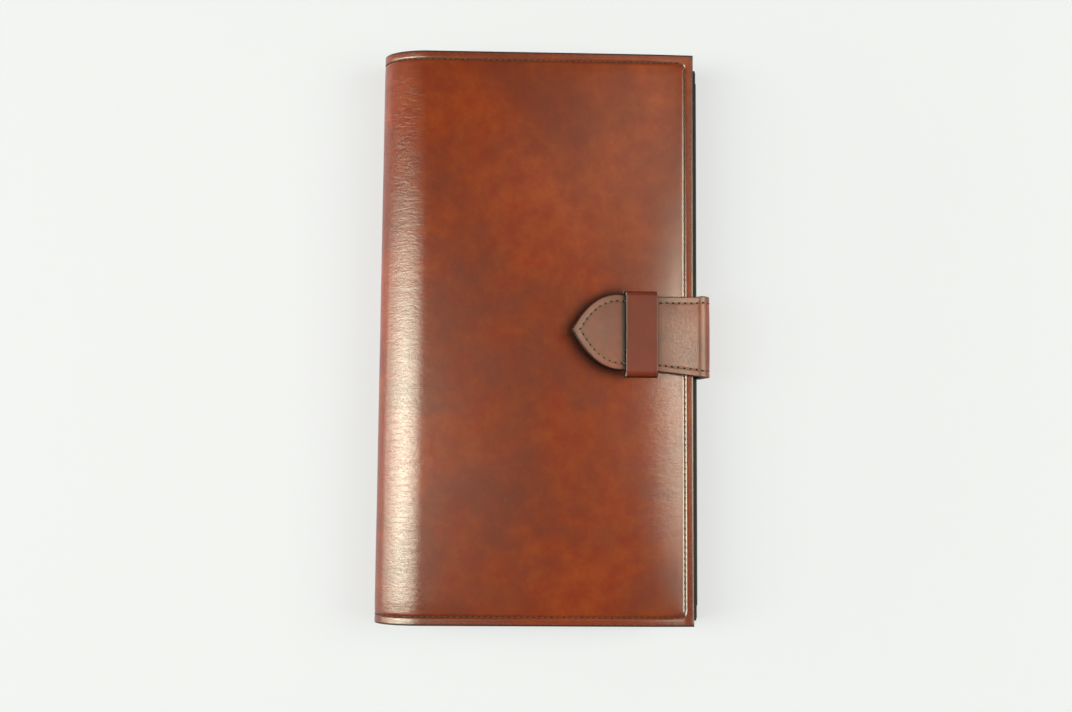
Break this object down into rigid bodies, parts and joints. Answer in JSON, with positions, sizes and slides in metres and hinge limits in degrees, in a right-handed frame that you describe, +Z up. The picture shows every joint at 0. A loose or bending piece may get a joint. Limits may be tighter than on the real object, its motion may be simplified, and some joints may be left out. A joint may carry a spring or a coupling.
{
  "type": "long wallet",
  "caption": "Long bifold leather wallet with a rounded spine, card and bill pockets, a zip coin pouch, and a pointed strap tucked through a keeper.",
  "frame": {"origin": "bottom centre of the closed wallet, on the plane its back cover rests on", "axes": "+Z up out of the front cover, +Y along the wallet's length, +X from the spine towards the open edge and its strap"},
  "size_m": [0.1128, 0.195, 0.0255],
  "materials": {
    "cover_leather": "glazed red-brown pull-up leather with dark painted edges",
    "strap_leather": "the same glazed red-brown leather, two plies sewn",
    "lining_leather": "smooth black leather",
    "pocket_leather": "thin red-brown leather, matt",
    "stitch_thread": "waxed grey-brown thread",
    "zip_metal": "polished",
    "zip_tape": "woven black tape"
  },
  "bodies": {
    "back_half": {"outer_back": "cover_leather", "strap_root": "strap_leather", "lining_back": "lining_leather", "bill_panel_back": "lining_leather", "pouch_base": "lining_leather", "pouch_front": "pocket_leather", "pouch_gusset_head": "lining_leather", "pouch_gusset_foot": "lining_leather", "pouch_gusset_edge": "lining_leather", "zip_tape_lower": "zip_tape", "zip_tape_upper": "zip_tape", "zip_teeth_lower": "zip_metal", "zip_teeth_upper": "zip_metal", "zip_stop_head": "zip_metal", "zip_stop_foot": "zip_metal", "thread_back_head": "stitch_thread", "thread_back_foot": "stitch_thread", "thread_strap_root": "stitch_thread"},
    "spine": {"outer_spine": "cover_leather", "lining_spine": "lining_leather", "thread_spine_head": "stitch_thread", "thread_spine_foot": "stitch_thread"},
    "front_half": {"outer_front": "cover_leather", "lining_front": "lining_leather", "bill_panel_front": "lining_leather", "card_slot_1": "pocket_leather", "card_slot_2": "pocket_leather", "card_slot_3": "pocket_leather", "card_slot_4": "pocket_leather", "thread_slot_divider": "stitch_thread", "keeper_loop": "strap_leather", "thread_cover_front": "stitch_thread"},
    "strap_wrap": {"strap_wrap_outer": "strap_leather", "strap_wrap_lining": "lining_leather", "thread_wrap_head": "stitch_thread", "thread_wrap_foot": "stitch_thread"},
    "strap_tongue": {"strap_tongue_outer": "strap_leather", "strap_tongue_lining": "lining_leather", "thread_tongue": "stitch_thread"},
    "zip_slider": {"zip_slider": "zip_metal"},
    "zip_pull": {"zip_pull": "zip_metal"}
  },
  "joints": [
    {"name": "spine_fold_back", "type": "hinge", "parent": "back_half", "child": "spine", "pos_m": [-0.0537, 0, 0.00265], "axis": [0, -1, 0], "range_deg": [0, 88]},
    {"name": "spine_fold_front", "type": "hinge", "parent": "spine", "child": "front_half", "pos_m": [-0.0537, 0, 0.01735], "axis": [0, -1, 0], "range_deg": [0, 88]},
    {"name": "strap_fold_lower", "type": "hinge", "parent": "back_half", "child": "strap_wrap", "pos_m": [0.05595, 0, 0.0005], "axis": [0, 1, 0], "range_deg": [0, 80]},
    {"name": "strap_fold_upper", "type": "hinge", "parent": "strap_wrap", "child": "strap_tongue", "pos_m": [0.05559, 0, 0.02174], "axis": [0, 1, 0], "range_deg": [0, 80], "deforming": ["strap_tongue_outer", "strap_tongue_lining", "thread_tongue"]},
    {"name": "zip_slide", "type": "slide", "parent": "back_half", "child": "zip_slider", "axis": [0, -1, 0], "range_m": [0, 0.158]},
    {"name": "zip_pull_swing", "type": "hinge", "parent": "zip_slider", "child": "zip_pull", "pos_m": [-0.0386, 0.079, 0.00735], "axis": [0, 0, -1], "range_deg": [0, 165]}
  ],
  "couplings": [
    {"joint": "spine_fold_front", "follows": "spine_fold_back", "ratio": 1},
    {"joint": "strap_fold_lower", "follows": "spine_fold_back", "ratio": 0.9},
    {"joint": "strap_fold_upper", "follows": "spine_fold_back", "ratio": 0.9}
  ]
}
